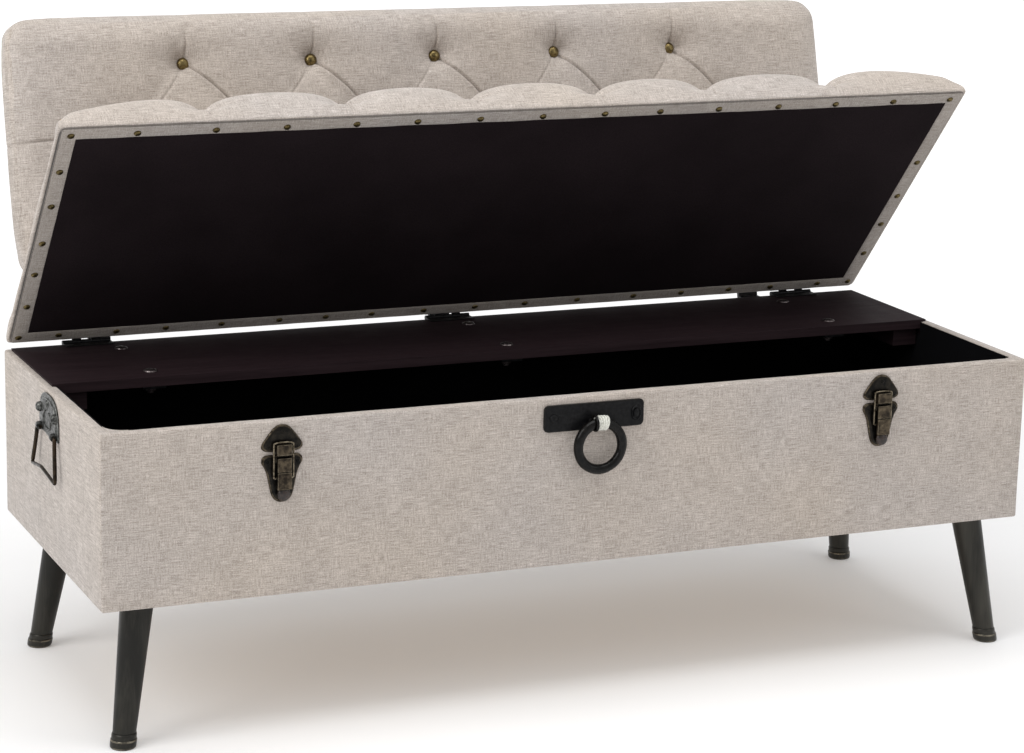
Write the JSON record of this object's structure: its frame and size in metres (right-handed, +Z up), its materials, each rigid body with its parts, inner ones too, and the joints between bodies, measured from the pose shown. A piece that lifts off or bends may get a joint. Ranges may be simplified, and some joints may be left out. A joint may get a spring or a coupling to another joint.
{
  "type": "storage bench",
  "caption": "Upholstered storage bench: fabric-covered box on splayed metal legs, hinged tufted lid standing open, tufted backrest on brackets, ring pull, toggle latches and drop handles.",
  "frame": {"origin": "on the floor, under the middle of the bench's overall box", "axes": "+X along the bench to its right end, -Y towards the front panel, +Z up"},
  "size_m": [1.2898, 0.6454, 0.8086],
  "materials": {
    "carcass_wood": "plain unfinished plywood, hidden under the fabric",
    "linen_cover": "greige linen weave with irregular slubs",
    "black_cloth": "matte black lining cloth",
    "dark_board": "dark brown stained board, low sheen",
    "dark_steel": "black painted flat bar",
    "bolt_steel": "worn shiny domed heads",
    "black_iron": "satin black forged iron",
    "woven_tape": "off-white woven cotton tape",
    "antique_bronze": "dark antique bronze with worn bright edges",
    "grey_iron": "grey-black antiqued iron",
    "leg_metal": "dark gunmetal, lightly brushed"
  },
  "bodies": {
    "box": {"backrest_board": "linen_cover", "backrest_cushion": "linen_cover", "bottom_board": "carcass_wood", "box_cover": "linen_cover", "bracket_centre": "dark_steel", "bracket_left": "dark_steel", "bracket_right": "dark_steel", "deck_board": "dark_board", "deck_bolt_1": "bolt_steel", "deck_bolt_2": "bolt_steel", "deck_bolt_3": "bolt_steel", "deck_bolt_4": "bolt_steel", "deck_bolt_5": "bolt_steel", "deck_bolt_6": "bolt_steel", "deck_cleat_left": "dark_board", "deck_cleat_right": "dark_board", "ferrule_front_left": "leg_metal", "ferrule_front_right": "leg_metal", "ferrule_rear_left": "leg_metal", "ferrule_rear_right": "leg_metal", "front_panel": "carcass_wood", "handle_plate_left": "grey_iron", "handle_plate_right": "grey_iron", "hinge_base_1": "black_iron", "hinge_base_2": "black_iron", "hinge_base_3": "black_iron", "latch_base_left": "antique_bronze", "latch_base_right": "antique_bronze", "latch_keeper_left": "antique_bronze", "latch_keeper_right": "antique_bronze", "leg_front_left": "leg_metal", "leg_front_right": "leg_metal", "leg_plate_front_left": "dark_steel", "leg_plate_front_right": "dark_steel", "leg_plate_rear_left": "dark_steel", "leg_plate_rear_right": "dark_steel", "leg_rear_left": "leg_metal", "leg_rear_right": "leg_metal", "rear_panel": "carcass_wood", "ring_eye": "black_iron", "ring_plate": "black_iron", "side_panel_left": "carcass_wood", "side_panel_right": "carcass_wood", "storage_lining": "black_cloth"},
    "lid": {"lid_board": "carcass_wood", "lid_border": "linen_cover", "lid_underside_panel": "dark_board", "seat_cushion": "linen_cover", "hinge_leaf_1": "black_iron", "hinge_leaf_2": "black_iron", "hinge_leaf_3": "black_iron"},
    "ring": {"pull_ring": "black_iron", "ring_band": "woven_tape"},
    "lever_left": {"latch_lever_left": "antique_bronze"},
    "lever_right": {"latch_lever_right": "antique_bronze"},
    "loop_left": {"latch_loop_left": "antique_bronze"},
    "loop_right": {"latch_loop_right": "antique_bronze"},
    "bail_left": {"handle_bail_left": "antique_bronze"},
    "bail_right": {"handle_bail_right": "antique_bronze"}
  },
  "joints": [
    {"name": "lid_hinge", "type": "hinge", "parent": "box", "child": "lid", "pos_m": [0, 0.1618, 0.395], "axis": [-1, 0, 0], "range_deg": [-49, 0]},
    {"name": "ring_swing", "type": "hinge", "parent": "box", "child": "ring", "pos_m": [0.002, -0.312, 0.357], "axis": [-1, 0, 0], "range_deg": [-4, 165]},
    {"name": "latch_lever_left_turn", "type": "hinge", "parent": "box", "child": "lever_left", "pos_m": [-0.408, -0.3042, 0.3445], "axis": [-1, 0, 0], "range_deg": [0, 95]},
    {"name": "latch_loop_left_turn", "type": "hinge", "parent": "lever_left", "child": "loop_left", "pos_m": [-0.408, -0.3051, 0.322], "axis": [1, 0, 0], "range_deg": [0, 95]},
    {"name": "latch_lever_right_turn", "type": "hinge", "parent": "box", "child": "lever_right", "pos_m": [0.41, -0.3042, 0.3445], "axis": [-1, 0, 0], "range_deg": [0, 95]},
    {"name": "latch_loop_right_turn", "type": "hinge", "parent": "lever_right", "child": "loop_right", "pos_m": [0.41, -0.3051, 0.322], "axis": [1, 0, 0], "range_deg": [0, 95]},
    {"name": "handle_bail_left_swing", "type": "hinge", "parent": "box", "child": "bail_left", "pos_m": [-0.6356, -0.0682, 0.339], "axis": [0, 1, 0], "range_deg": [0, 150]},
    {"name": "handle_bail_right_swing", "type": "hinge", "parent": "box", "child": "bail_right", "pos_m": [0.6356, -0.0682, 0.339], "axis": [0, -1, 0], "range_deg": [0, 150]}
  ],
  "couplings": [
    {"joint": "latch_loop_left_turn", "follows": "latch_lever_left_turn", "ratio": 1},
    {"joint": "latch_loop_right_turn", "follows": "latch_lever_right_turn", "ratio": 1}
  ]
}
